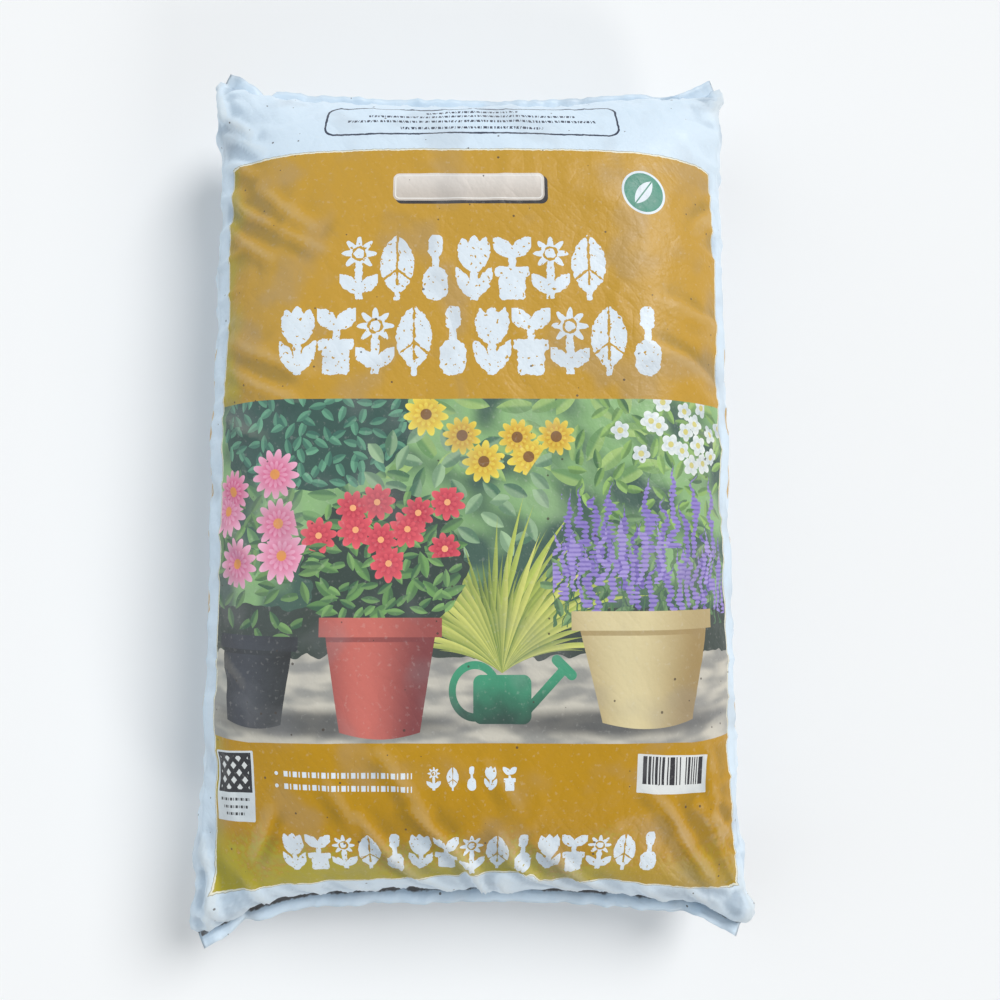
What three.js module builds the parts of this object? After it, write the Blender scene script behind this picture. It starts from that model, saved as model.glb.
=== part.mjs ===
// Compost bag: a gusseted film bag, filled, welded shut at both ends and lying on its back.
// Millimetres. +X runs across the bag, +Y towards its top end and +Z up, out of the printed front.
// The origin is on the floor under the middle of the bag.
import * as THREE from "three";

// Filled body: between the two welds, across its middle, and from the floor to the printed front
const BODY_LENGTH = 570;
const BODY_WIDTH = 375;
const BODY_HEIGHT = 130;

// Roundness of the body: 2 is an ellipse, and a larger number is boxier
const SECTION_SQUARENESS = 3;
const END_SQUARENESS = 3.2;

// Depth of the free round form that is flat: the back by the filling's weight, the front by stacking
const BACK_FLATTENED = 12;
const FRONT_FLATTENED = 5;

// Welded fin along each end
const WELD_HEIGHT = 58;
const FIN_DEPTH = 10.5;
const FIN_THICKNESS = 3;

// Four corner ears: the ends are hollow between them, and the sides splay out and then taper to them
const EAR_REACH = 21;
const CORNER_SPLAY = 22;
const EAR_TAPER = 25;
const EAR_CURVE = 6;
const SPLAY_CURVE = 7;

// Mesh steps. The last step along the bag at each end is its fin.
const STEPS_ACROSS = 22;
const STEPS_ALONG = 38;
const STEPS_UP = 6;

const FILM_COLOUR = 0xd6e4ef;
const FILM_ROUGHNESS = 0.42;

const HALF_LENGTH = BODY_LENGTH / 2;
const HALF_WIDTH = BODY_WIDTH / 2;
const HALF_FIN = FIN_THICKNESS / 2;
const RISE_ABOVE_WELD = BODY_HEIGHT + FRONT_FLATTENED - WELD_HEIGHT;
const DROP_BELOW_WELD = WELD_HEIGHT + BACK_FLATTENED;

// Turns a point of the square from -1 to 1 into the matching point of a rounded section of half size 1.
function roundSection(across, up) {
  const ring = Math.max(Math.abs(across), Math.abs(up));
  if (ring === 0) {
    return { across: 0, up: 0 };
  }
  const n = SECTION_SQUARENESS;
  const reach = (Math.abs(across) ** n + Math.abs(up) ** n) ** (1 / n);
  return { across: (across * ring) / reach, up: (up * ring) / reach };
}

// Splits a place along the bag into its run through the body and its share of the fin, both 0 to 1.
function splitLength(along) {
  const finShare = 2 / STEPS_ALONG;
  const distance = Math.abs(along);
  const bodyShare = Math.min(distance / (1 - finShare), 1);
  return {
    run: Math.sin((bodyShare * Math.PI) / 2),
    fin: Math.max((distance - 1 + finShare) / finShare, 0),
  };
}

// Moves one vertex of the two-unit box onto the skin of the bag.
function placeOnBag(vertex) {
  const section = roundSection(vertex.x, vertex.z);
  const { run, fin } = splitLength(vertex.y);
  const fullness = Math.max(1 - run ** END_SQUARENESS, 0) ** (1 / END_SQUARENESS);
  const ear = (Math.abs(section.across) * run) ** EAR_CURVE;

  const splay = CORNER_SPLAY * run ** SPLAY_CURVE - EAR_TAPER * (1 - fullness) ** 2;
  const length = HALF_LENGTH * run + FIN_DEPTH * fin + EAR_REACH * ear;
  const halfHeight = section.up > 0 ? RISE_ABOVE_WELD : DROP_BELOW_WELD;
  const thickness = HALF_FIN + (halfHeight - HALF_FIN) * fullness;
  const height = THREE.MathUtils.clamp(WELD_HEIGHT + thickness * section.up, 0, BODY_HEIGHT);

  vertex.set((HALF_WIDTH + splay) * section.across, Math.sign(vertex.y) * length, height);
}

function makeBagGeometry() {
  const geometry = new THREE.BoxGeometry(2, 2, 2, STEPS_ACROSS, STEPS_ALONG, STEPS_UP);
  const positions = geometry.getAttribute("position");
  const vertex = new THREE.Vector3();
  for (let i = 0; i < positions.count; i += 1) {
    vertex.fromBufferAttribute(positions, i);
    placeOnBag(vertex);
    positions.setXYZ(i, vertex.x, vertex.y, vertex.z);
  }
  geometry.computeVertexNormals();
  return geometry;
}

const film = new THREE.MeshStandardMaterial({
  color: FILM_COLOUR,
  roughness: FILM_ROUGHNESS,
  metalness: 0,
});

const bag = new THREE.Mesh(makeBagGeometry(), film);
bag.name = "bag";

const group = new THREE.Group();
group.add(bag);

export default group;
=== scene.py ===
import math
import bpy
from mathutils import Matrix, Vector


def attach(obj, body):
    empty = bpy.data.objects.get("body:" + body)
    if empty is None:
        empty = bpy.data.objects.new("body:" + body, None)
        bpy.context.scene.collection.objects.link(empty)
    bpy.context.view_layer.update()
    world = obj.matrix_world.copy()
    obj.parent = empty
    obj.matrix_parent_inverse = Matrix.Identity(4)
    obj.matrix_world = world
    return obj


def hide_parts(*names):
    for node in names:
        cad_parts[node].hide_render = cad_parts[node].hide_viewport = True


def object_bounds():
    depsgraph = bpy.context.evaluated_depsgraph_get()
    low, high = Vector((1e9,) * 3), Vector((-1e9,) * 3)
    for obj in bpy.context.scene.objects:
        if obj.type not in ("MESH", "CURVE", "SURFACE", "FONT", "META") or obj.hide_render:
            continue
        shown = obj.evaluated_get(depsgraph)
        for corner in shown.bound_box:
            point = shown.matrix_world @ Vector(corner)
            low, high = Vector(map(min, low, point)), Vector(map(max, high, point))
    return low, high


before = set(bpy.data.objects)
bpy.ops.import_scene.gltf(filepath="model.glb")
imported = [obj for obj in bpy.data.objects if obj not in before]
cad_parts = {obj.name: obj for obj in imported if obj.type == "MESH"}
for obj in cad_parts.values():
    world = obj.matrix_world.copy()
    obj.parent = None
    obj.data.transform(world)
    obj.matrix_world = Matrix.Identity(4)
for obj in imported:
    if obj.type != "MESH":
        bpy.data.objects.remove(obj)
cad_low, cad_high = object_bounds()

# Compost bag: a gusseted tube of printed film, filled, welded at both ends and lying on its back.
# Metres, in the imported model's frame: +X across the bag, +Y towards its top end, +Z up out of its
# printed front. The flat tube is filled and settled by a small cloth solver, then creased, and the
# print is drawn on it by nodes in the film's own flat coordinates.
from types import SimpleNamespace

import bpy
import numpy as np
from mathutils import Vector, noise

# The flat tube: its front and back panels, each half of the gusset folded in at either side, the
# length between the two welds, and the welded fin beyond each
PANEL = 0.378
GUSSET = 0.0315
WELD_TO_WELD = 0.630
FIN = 0.0105
FILLING = 0.0243
PRESSED_HEIGHT = cad_high.z

# The filled bag that the solver starts from
START_WIDTH = 0.375
START_HEIGHT = 0.134
START_LENGTH = 0.572
START_SQUARENESS = 3.0
START_END_SQUARENESS = 2.7
START_ROUND_ROWS = 0.35
START_FLAT_FROM = 0.72
START_EAR = 0.02
START_PLY_GAP = 0.0003
THINNEST_HALF = 0.002

# The solver: its coarsest mesh, how film resists shear, how fast a point may move each round, how much
# of its speed it keeps, and the corner tips that are pulled out, as a share of the width and a length
COARSE_COLUMNS = 36
SOLVER_SEED = 3
START_ROUGHNESS = 0.0002
SHEAR_STIFFNESS = 0.35
TOP_SPEED = 0.004
SPEED_KEPT = 0.9
FILM_WEIGHT = 0.03
TIP_FROM = 0.86
TIP_LENGTH = 0.03
TIP_SPREAD = 0.3
TINY = 1e-12
TINY_AREA = 1e-15


def tube_layout(columns):
    """How the film tube's lengthwise columns lie when it is flat: front, right gusset, back, left gusset."""
    step = PANEL / columns
    fold = round(GUSSET / step)
    front = -PANEL / 2 + np.arange(columns) * step
    inward = PANEL / 2 - np.arange(fold) * step
    outward = PANEL / 2 - (fold - np.arange(fold)) * step
    flat = np.concatenate([front, inward, outward, -front, -inward, -outward])
    plies = [(3, columns), (1, fold), (-1, fold), (-3, columns), (-1, fold), (1, fold)]
    return SimpleNamespace(
        step=step,
        columns=columns,
        fold=fold,
        flat=flat,
        ply=np.concatenate([np.full(count, ply) for ply, count in plies]),
        around=len(flat),
        rows=round(WELD_TO_WELD / step),
        fin=round(FIN / step),
    )


def rounded_ring(count, across, up, start):
    """Points at equal steps round a boxy ellipse, clockwise seen from the foot of the bag."""
    turn = np.linspace(0, 2 * np.pi, 4001)
    c, s = np.cos(turn), np.sin(turn)
    x = across * np.sign(c) * np.abs(c) ** (2 / START_SQUARENESS)
    z = up * np.sign(s) * np.abs(s) ** (2 / START_SQUARENESS)
    run = np.concatenate([[0], np.cumsum(np.hypot(np.diff(x), np.diff(z)))])
    at = (start - np.arange(count) / count) % 1.0 * run[-1]
    return np.interp(at, run, x), np.interp(at, run, z)


def starting_shape(tube):
    """A full bag that narrows to flat welds, as rows of points round the tube."""
    rows = []
    for along in np.linspace(-1, 1, tube.rows + 1):
        run = np.sin(along * np.pi / 2) * START_ROUND_ROWS + along * (1 - START_ROUND_ROWS)
        full = max(1 - abs(run) ** START_END_SQUARENESS, 0) ** (1 / START_END_SQUARENESS)
        first = 0.25 + tube.columns / 2 / tube.around
        x, z = rounded_ring(tube.around, START_WIDTH / 2, max(START_HEIGHT / 2 * full, THINNEST_HALF), first)
        flattened = np.clip((abs(along) - START_FLAT_FROM) / (1 - START_FLAT_FROM), 0, 1) ** 2
        ear = START_EAR * flattened * np.abs(tube.flat / (PANEL / 2)) ** 5
        plies = z * (1 - flattened) + tube.ply * START_PLY_GAP * flattened
        rows.append(np.stack([
            x * (1 - flattened) + tube.flat * flattened,
            run * START_LENGTH / 2 + np.sign(along) * ear,
            plies + START_HEIGHT / 2 * (1 - 0.2 * flattened),
        ], axis=1))
    beyond = [tube.step * (n + 1) for n in range(tube.fin)]
    low = [rows[0] - [0, d, 0] for d in reversed(beyond)]
    high = [rows[-1] + [0, d, 0] for d in beyond]
    return np.stack(low + rows + high)


def pull(a, b, rest, stretched, squeezed):
    """Moves pairs of points towards their rest distance: one share if too far apart, another if too near."""
    gap = b - a
    length = np.sqrt((gap * gap).sum(-1, keepdims=True)) + TINY
    miss = (length - rest) / length
    gap *= 0.5 * np.where(miss > 0, stretched, squeezed) * miss
    a += gap
    b -= gap


def pull_diagonals(points, rest, squeezed):
    """Keeps the film's squares square, as far as film does."""
    for start in (0, 1):
        count = (len(points) - start) // 2 * 2
        low, high = points[start:start + count:2], points[start + 1:start + count:2]
        pull(low[:, 0::2], high[:, 1::2], rest, SHEAR_STIFFNESS, squeezed * SHEAR_STIFFNESS)
        pull(low[:, 1::2], high[:, 0::2], rest, SHEAR_STIFFNESS, squeezed * SHEAR_STIFFNESS)


def sweep(points, step, squeezed, bending):
    """One pass over all the film's threads: along, round, diagonal, and two steps apart against bending."""
    for start in (0, 1):
        count = (len(points) - start) // 2 * 2
        pull(points[start:start + count:2], points[start + 1:start + count:2], step, 1.0, squeezed)
    pull(points[:, 0::2], points[:, 1::2], step, 1.0, squeezed)
    rolled = np.roll(points, -1, axis=1)
    pull(rolled[:, 0::2], rolled[:, 1::2], step, 1.0, squeezed)
    pull_diagonals(rolled, step * math.sqrt(2), squeezed)
    points[:] = np.roll(rolled, 1, axis=1)
    pull_diagonals(points, step * math.sqrt(2), squeezed)
    for start in range(4):
        a, b = points[start::4], points[start + 2::4]
        count = min(len(a), len(b))
        pull(a[:count], b[:count], 2 * step, 0.0, bending)
    whole = points.shape[1] // 4 * 4
    for start in range(4):
        rolled = np.roll(points, -start, axis=1)
        pull(rolled[:, 0:whole:4], rolled[:, 2:whole:4], 2 * step, 0.0, bending)
        points[:] = np.roll(rolled, start, axis=1)


def areas(points):
    """Each point's outward share of the film's area, and the volume inside."""
    rolled = np.roll(points, -1, axis=1)
    face = 0.5 * np.cross(rolled[1:] - points[:-1], points[1:] - rolled[:-1])
    middle = 0.25 * (points[1:] + points[:-1] + rolled[1:] + rolled[:-1])
    volume = (middle * face).sum() / 3
    share = np.zeros_like(points)
    for quarter in (face / 4, np.roll(face / 4, 1, axis=1)):
        share[:-1] += quarter
        share[1:] += quarter
    return share, volume


def weld_mean(tube):
    """The matrix that brings the plies of a welded row together, column by column."""
    place = np.rint((tube.flat + PANEL / 2) / tube.step).astype(int)
    same = (place[:, None] == place[None, :]).astype(float)
    return same / same.sum(1, keepdims=True)


def close_welds(tube, points):
    """Brings the plies of both welded ends together."""
    mean, weld = weld_mean(tube), tube.fin + 1
    points[:weld] = mean @ points[:weld]
    points[-weld:] = mean @ points[-weld:]


def settle(tube, points, rounds, sweeps, weight, ear_push, squeezed, bending):
    """Lets the filled film find its rest between the floor and the board that pressed its front flat."""
    mean, weld = weld_mean(tube), tube.fin + 1
    count = len(points)
    to_end = np.minimum(np.arange(count), count - 1 - np.arange(count)) * tube.step
    tip = np.clip((np.abs(tube.flat) / (PANEL / 2) - TIP_FROM) / (1 - TIP_FROM), 0, 1)
    at_ear = np.clip(1 - to_end / TIP_LENGTH, 0, 1)[:, None] * tip[None, :] * ear_push
    outward = np.where(np.arange(count) < count / 2, -1.0, 1.0)[:, None]
    speed = np.zeros_like(points)
    for _ in range(rounds):
        share, _ = areas(points)
        depth = np.clip((points[..., 2].max() - points[..., 2]) / START_HEIGHT, 0, 1)
        force = share / tube.step ** 2 * (depth * weight)[..., None]
        force[..., 2] -= FILM_WEIGHT * weight
        force[..., 1] += at_ear * outward
        force[..., 0] += TIP_SPREAD * at_ear * np.sign(tube.flat)
        moved = points + speed * SPEED_KEPT + force
        for n in range(sweeps):
            sweep(moved, tube.step, squeezed, bending)
            moved[:weld] = mean @ moved[:weld]
            moved[-weld:] = mean @ moved[-weld:]
            if n % 2 == 1:
                share, volume = areas(moved)
                moved += share * ((FILLING - volume) / (share * share).sum())
            np.clip(moved[..., 2], 0, PRESSED_HEIGHT, out=moved[..., 2])
        speed = moved - points
        fast = np.sqrt((speed * speed).sum(-1, keepdims=True)) + TINY
        speed *= np.minimum(1, TOP_SPEED / fast)
        points = moved
    return points


def refined(points):
    """Twice as many points both ways, the new ones on a smooth curve through four neighbours."""
    rows, around, _ = points.shape
    left, right, far = np.roll(points, 1, 1), np.roll(points, -1, 1), np.roll(points, -2, 1)
    across = np.empty((rows, 2 * around, 3))
    across[:, 0::2] = points
    across[:, 1::2] = (9 * (points + right) - left - far) / 16
    padded = np.concatenate([2 * across[:1] - across[1:2], across, 2 * across[-1:] - across[-2:-1]])
    fine = np.empty((2 * rows - 1, 2 * around, 3))
    fine[0::2] = across
    fine[1::2] = (9 * (padded[1:-2] + padded[2:-1]) - padded[:-3] - padded[3:]) / 16
    return fine


def filled_tube():
    """The settled bag as a fine grid of points, with its layout."""
    tube = tube_layout(COARSE_COLUMNS)
    points = settle(tube, starting_shape(tube), rounds=140, sweeps=8, weight=0.0002,
                    ear_push=0.0006, squeezed=0.15, bending=0.1)
    tube = tube_layout(2 * COARSE_COLUMNS)
    points = refined(points)
    points += np.random.default_rng(SOLVER_SEED).normal(0, START_ROUGHNESS, points.shape)
    points = settle(tube, points, rounds=120, sweeps=10, weight=0.00004,
                    ear_push=0.0002, squeezed=1.0, bending=0.015)
    tube = tube_layout(4 * COARSE_COLUMNS)
    points = refined(points)
    close_welds(tube, points)
    return tube, points


# How the settled bag is drawn in before its corners, where real film gathers, and flares out to its ears
DRAWN_IN = 0.037
DRAWN_FROM, DRAWN_TO = 0.130, 0.262
FLARED_OUT = 0.067
FLARED_TO = 0.302

# Two ears, each by its side and its end, with how far it is moved along the bag, and where ears start and end
EAR_SHIFTS = ((-1, -1, -0.0085), (1, 1, -0.0060))
EAR_ACROSS = (0.115, 0.165)
EAR_ALONG = (0.262, 0.300)


def eased(value, start, end):
    """From 0 at start to 1 at end, with no kinks."""
    share = np.clip((value - start) / (end - start), 0, 1)
    return share * share * (3 - 2 * share)


def trimmed(points):
    """The settled bag, drawn in before its corners as the real one is, and with its ears."""
    along = np.abs(points[..., 1])
    drawn = DRAWN_IN * eased(along, DRAWN_FROM, DRAWN_TO)
    flared = FLARED_OUT * eased(along, DRAWN_TO, FLARED_TO)
    points = points.copy()
    points[..., 0] *= 1 - drawn + flared
    for across, up, shift in EAR_SHIFTS:
        x, y = across * points[..., 0], up * points[..., 1]
        points[..., 1] += shift * eased(x, *EAR_ACROSS) * eased(y, *EAR_ALONG)
    return points


def film_place(tube, columns, rows, count):
    """Places on the unrolled film in metres: round from the middle of the front, and along it."""
    return (columns - tube.columns / 2) * tube.step, (rows - (count - 1) / 2) * tube.step


# Folds, in millimetres on the unrolled film: x round it from the middle of the front and y along it.
# Each is the x and y of three points on its path, its height and its half width. A fold is steeper on
# the right of its path.
FOLDS = (
    (-178, 198, -160, 181, -132, 164, 3.6, 5.5), (-152, 200, -128, 178, -98, 156, 2.8, 8),
    (-144, 172, -122, 158, -92, 142, 2.2, 6), (-180, 178, -158, 158, -128, 138, 2.6, 6),
    (-194, 270, -178, 254, -154, 236, 3.2, 6), (-190, 250, -168, 236, -142, 218, 2.6, 6),
    (-184, 228, -164, 214, -146, 204, 1.8, 5), (-174, 94, -140, 78, -98, 60, 2, 7),
    (-174, 74, -142, 58, -106, 43, 2.2, 6), (-176, 40, -152, 28, -128, 20, 1.6, 6),
    (-176, -22, -156, -42, -136, -62, 1.6, 6), (-178, -110, -160, -124, -142, -140, 1.4, 6),
    (184, 58, 146, 74, 102, 88, 2, 7), (186, 99, 152, 108, 116, 115, 1.6, 7),
    (188, 14, 164, 26, 136, 38, 1.8, 6), (186, -60, 166, -50, 144, -46, 1.4, 6),
    (184, 190, 166, 178, 150, 160, 1.8, 7), (-74, -208, -48, -247, -28, -276, 3.8, 4.5),
    (-40, -206, -14, -233, 8, -262, 4.2, 4.8), (-6, -236, 6, -276, 14, -306, 4, 4.8),
    (16, -220, 29, -249, 56, -278, 3.8, 4.5), (38, -228, 60, -250, 88, -282, 3.2, 4.5),
    (-62, -168, -42, -194, -24, -216, 2, 6), (-94, -188, -80, -208, -70, -230, 1.7, 6),
    (6, -176, 22, -196, 34, -214, 1.5, 6), (-146, -250, -135, -230, -124, -206, 2.4, 5.5),
    (-176, -262, -177, -296, -178, -330, 3.4, 5), (-189, -238, -178, -268, -168, -296, 3.4, 5.5),
    (132, -224, 152, -248, 170, -272, 3.6, 6), (144, -208, 166, -226, 187, -246, 3, 5.5),
    (158, -220, 174, -246, 188, -272, 2.8, 5), (110, -194, 130, -216, 148, -236, 2.4, 6),
    (155, -178, 163, -214, 171, -252, 1.8, 3), (122, -206, 130, -217, 140, -232, 1.5, 2.8),
    (148, -170, 158, -182, 168, -200, 1.3, 2.8), (20, -256, 22, -284, 22, -314, 4.6, 13),
    (-153, -262, -142, -284, -130, -306, 2, 4.5), (-122, -262, -108, -284, -98, -306, 1.6, 4.5),
    (-90, -264, -74, -286, -62, -306, 1.6, 4.5), (-34, -262, -20, -284, -10, -304, 2.2, 4.5),
    (50, -262, 66, -284, 82, -306, 2.2, 4.5), (80, -266, 94, -286, 110, -306, 2, 4.5),
    (112, -268, 126, -288, 142, -308, 2, 4.5), (142, -266, 158, -288, 170, -310, 2.4, 4.5),
    (183, -258, 187, -290, 186, -328, 2.6, 5), (186, 258, 187, 290, 186, 328, 3.6, 6),
    (-184, 258, -186, 290, -186, 328, 3.6, 6),
)

# Noise relief in millimetres: the size of its shapes and how far they rise
LUMP_SIZE, LUMP_RISE = 44.0, 2.6
GRAIN_SIZE, GRAIN_RISE = 14.0, 0.28
LONG_SIZE, LONG_RISE = 52.0, 0.7
DRAG_SIZE, DRAG_RISE = 25.0, 1.4
PUCKER_SIZE, PUCKER_RISE = 19.0, 1.5
CRUMPLE_SIZE, CRUMPLE_RISE = 21.0, 1.9
CREST_WIDTH = 0.12
GUSSET_CREASE = 1.6
STEEP_SIDE, GENTLE_SIDE = 0.6, 1.5

# How deep a dip and a fold's line are, and how high a fold's crest is, when each is marked in full with
# painted shade or a painted highlight, and the most that a dip or a line is marked
HOLLOW_DEPTH = 3.4
LINE_DEPTH = 0.35
CREST_HEIGHT = 1.1
MOST_HOLLOW = 0.62
MOST_LINE = 0.7

# Grime and painted shadow along the welds: how far they reach beyond them on the film, at the foot's front
# and elsewhere
GRIME_AND_SHADOW_AT_FOOT, GRIME_AND_SHADOW_ELSEWHERE = 4.7, 1.0

# Fins, in metres
FIN_WAVE = 0.0034
FIN_LIFT = 0.0030
FIN_FRAY = 0.0014
PLY_GAP = 0.00017


def random_field(places, octaves):
    """Smooth random numbers around 0, with lumps of one unit."""
    values = [noise.fractal(place, 0.9, 2.1, octaves) for place in places.reshape(-1, 3).tolist()]
    return np.array(values).reshape(places.shape[:-1])


def creases(places, octaves=1):
    """Long rounded crests between wide hollows, around 0."""
    return np.exp(-(random_field(places, octaves) / CREST_WIDTH) ** 2) - 0.35


def fold_rise(x, y, fold):
    """How far one fold lifts the film: a crest along its path, fading out at both ends."""
    *path, height, half = fold
    path = list(zip(path[::2], path[1::2]))
    away, run, gone = np.full(x.shape, np.inf), np.zeros(x.shape), 0.0
    for (ax, ay), (bx, by) in zip(path, path[1:]):
        length = math.hypot(bx - ax, by - ay)
        right, up = (bx - ax) / length, (by - ay) / length
        reach = np.clip((x - ax) * right + (y - ay) * up, 0, length)
        side = (x - ax) * up - (y - ay) * right
        width = np.where(side > 0, STEEP_SIDE, GENTLE_SIDE) * half
        near = np.hypot(x - ax - reach * right, y - ay - reach * up) / width
        closer = near < away
        away, run = np.where(closer, near, away), np.where(closer, gone + reach, run)
        gone += length
    crest = 1.4 * np.exp(-away) - 0.4 * np.exp(-(away / 3) ** 2)
    fade = np.clip(np.sin(np.pi * run / gone), 0, 1) ** 0.6
    return height * crest * fade


def blurred(values, reach=4):
    """Each value's mean over its neighbours, this many steps each way along and round the tube."""
    for _ in range(2):
        values = sum(np.roll(values, k, axis=1) for k in range(-reach, reach + 1)) / (2 * reach + 1)
        framed = np.pad(values, ((reach, reach), (0, 0)), mode="edge")
        values = sum(framed[k:k + len(values)] for k in range(2 * reach + 1)) / (2 * reach + 1)
    return values


def creased(tube, points):
    """The settled film with the lumps, folds and creases of a handled bag.

    With it comes a mark for each point: 1 in the darkest seam, which is painted as grime and shadow, less for
    painted shade in hollows and along fold lines, and below 0 for a painted highlight on fold crests.
    """
    columns, rows = np.meshgrid(np.arange(tube.around, dtype=float), np.arange(len(points), dtype=float))
    x, y = film_place(tube, columns, rows, len(points))
    girth = tube.around * tube.step
    x = np.where(x > girth / 2, x - girth, x) * 1000
    y = y * 1000
    place = points * 1000
    across, along = np.abs(x), np.abs(y)
    weld = WELD_TO_WELD * 500
    edge = PANEL * 500
    gusset = edge + GUSSET * 1000

    at_front = 1 - 0.55 * (1 - eased(across, edge - 40, edge + 10))
    rise = LUMP_RISE * at_front * random_field(place / LUMP_SIZE, 1)
    rise += GRAIN_RISE * random_field(place / GRAIN_SIZE + 7.0, 2)
    rise += LONG_RISE * creases(place / LONG_SIZE + 13.0)
    at_edge = eased(across, edge - 62, edge - 4) * (1 - 0.5 * eased(across, edge + 30, edge + 90))
    rise += DRAG_RISE * at_edge * creases(place / (3.6 * DRAG_SIZE, DRAG_SIZE, 3.6 * DRAG_SIZE) + 3.0)
    skewed = place + np.stack([0.45 * place[..., 1], 0 * x, 0 * x], -1)
    at_weld = eased(along, weld - 78, weld - 16)
    rise += PUCKER_RISE * at_weld * creases(skewed / (PUCKER_SIZE, 5 * PUCKER_SIZE, 4 * PUCKER_SIZE) + 11.0)
    at_corner = eased(across, edge - 52, edge - 6) * eased(along, weld - 66, weld - 20)
    rise += CRUMPLE_RISE * at_corner * creases(place / CRUMPLE_SIZE + 19.0)
    # The fold lines of the flat tube: its edges stand out and the gussets' middles stand in
    rise += GUSSET_CREASE * np.exp(-np.abs(across - edge) / 3.5)
    rise -= 1.5 * GUSSET_CREASE * np.exp(-np.abs(across - gusset) / 4.0)
    folded = sum(fold_rise(x, y, fold) for fold in FOLDS)
    rise = (rise + folded) * (1 - 0.75 * eased(along, weld - 9, weld))
    handled = points + normals(points) * (rise / 1000)[..., None]
    handled[..., 2] = np.maximum(handled[..., 2], 0)

    # Painted light: shade in dips and along fold lines, and a highlight on fold crests
    sunk = blurred(folded, 1) - folded
    lines = blurred(np.clip(sunk / LINE_DEPTH, 0, MOST_LINE), 1)
    crest_highlights = blurred(blurred(np.clip(-sunk / CREST_HEIGHT, 0, MOST_LINE), 1), 1)
    painted_light_and_grime = np.clip((blurred(rise) - rise) / HOLLOW_DEPTH + lines, 0, MOST_HOLLOW)
    # The seam at each weld gets grime and a painted shadow, darker at the foot
    grime_and_shadow = np.where(y < 0, 1.15, 0.80) - 0.8 * np.abs(random_field(place * (1, 0, 0) / 30.0, 2))
    beyond = np.where((y < 0) & (across < edge), GRIME_AND_SHADOW_AT_FOOT, GRIME_AND_SHADOW_ELSEWHERE)
    seam = eased(along, weld - 9, weld - 2) * (1 - eased(along, weld + beyond - 1, weld + beyond + 1.5))
    return handled, np.clip(np.maximum(painted_light_and_grime, grime_and_shadow * seam), 0, 1) - crest_highlights


def normals(points):
    share, _ = areas(points)
    return share / (np.sqrt((share * share).sum(-1, keepdims=True)) + TINY_AREA)


def finished_fins(tube, points):
    """The film with each end's plies welded flat, the fins waved and lifted, and the plies a film apart."""
    place = np.rint((tube.flat + PANEL / 2) / tube.step).astype(int)
    mean, weld = weld_mean(tube), tube.fin + 1
    ends = ((slice(0, weld), np.linspace(1, 0, weld)), (slice(-weld, None), np.linspace(0, 1, weld)))
    for rows, beyond in ends:
        strip = mean @ points[rows]
        beyond = beyond[:, None]
        at = strip * 1000 * (1, 0, 0)
        wave = random_field(at / 38.0 + 5.0, 2) + 0.6 * random_field(at / 9.0 + 9.0, 2)
        strip[..., 2] += beyond * (FIN_LIFT + FIN_WAVE * wave)
        strip[..., 1] += beyond * FIN_FRAY * random_field(at / 14.0 + 2.0, 3)
        front = strip[:, :tube.columns + 1]
        facing = np.cross(np.gradient(front, axis=1), np.gradient(front, axis=0))
        facing /= np.sqrt((facing * facing).sum(-1, keepdims=True)) + TINY_AREA
        facing = facing[:, np.minimum(place, tube.columns)]
        points[rows] = strip + facing * (tube.ply * PLY_GAP)[None, :, None]
    return points


# The map that finishes are baked through: the unrolled film with the front at full width, in shares
# of the square map, and a narrow strip beyond each end for the fin's edge
BAKED_LENGTH = 0.991
BAKED_EDGE = 0.003
BAKED_FRONT = 0.581
BAKED_GUSSET = 0.052


def bake_place(tube, around, along, count):
    """Where a place on the unrolled film is in the square map."""
    girth = tube.around * tube.step
    stops = np.array([0, PANEL / 2, PANEL / 2 + 2 * GUSSET, girth / 2])
    shares = np.array([0, BAKED_FRONT / 2, BAKED_FRONT / 2 + BAKED_GUSSET, 0.499])
    across = np.sign(around) * np.interp(np.abs(around), stops, shares)
    return 0.5 + across, 0.5 + along / ((count - 1) * tube.step) * BAKED_LENGTH


def end_faces(tube):
    """Faces that close the plies of an end row, seen from outside at the foot: columns, map columns, rise."""
    n, f = tube.columns, tube.fold
    faces = []

    def strip(top, bottom, groups, shown):
        for g in groups:
            ring = [top(g + 1), top(g), bottom(g), bottom(g + 1)]
            faces.append((ring, [shown(g + 1), shown(g), shown(g), shown(g + 1)], [0, 0, 1, 1]))

    def front(g):
        return g

    def back(g):
        return 2 * n + 2 * f - g

    strip(front, back, range(f, n - f), front)
    strip(front, lambda g: 2 * n - g, range(n - f, n), front)
    strip(lambda g: 2 * f + g, back, range(n - f, n), back)
    strip(front, lambda g: 2 * n + 4 * f - g, range(0, f), front)
    strip(lambda g: 2 * n + 2 * f + g, back, range(0, f), back)
    right, left = n + f, 2 * n + 3 * f
    faces.append(([front(n - f), back(n - f), right], [right - 1, right + 1, right], [0, 0, 1]))
    faces.append(([back(f), front(f), left], [left - 1, left + 1, left], [0, 0, 1]))
    for ring, shown, rise in faces:
        ring = [k % tube.around for k in ring]
        kept = [k for k in range(len(ring)) if ring[k] != ring[k - 1]]
        yield [ring[k] for k in kept], [shown[k] for k in kept], [rise[k] for k in kept]


UPPER, PICTURE, LOWER, SIDE, BACK = range(5)
PICTURE_HEAD, PICTURE_HEEL = 0.056, -0.171


def film_part(around, along):
    """Which part of the print each face carries, by its middle on the unrolled film."""
    front = np.select([along > PICTURE_HEAD, along > PICTURE_HEEL], [UPPER, PICTURE], LOWER)
    side = np.abs(around) > PANEL / 2
    back = np.abs(around) > PANEL / 2 + 2 * GUSSET
    return np.select([back, side], [BACK, SIDE], front)


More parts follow.
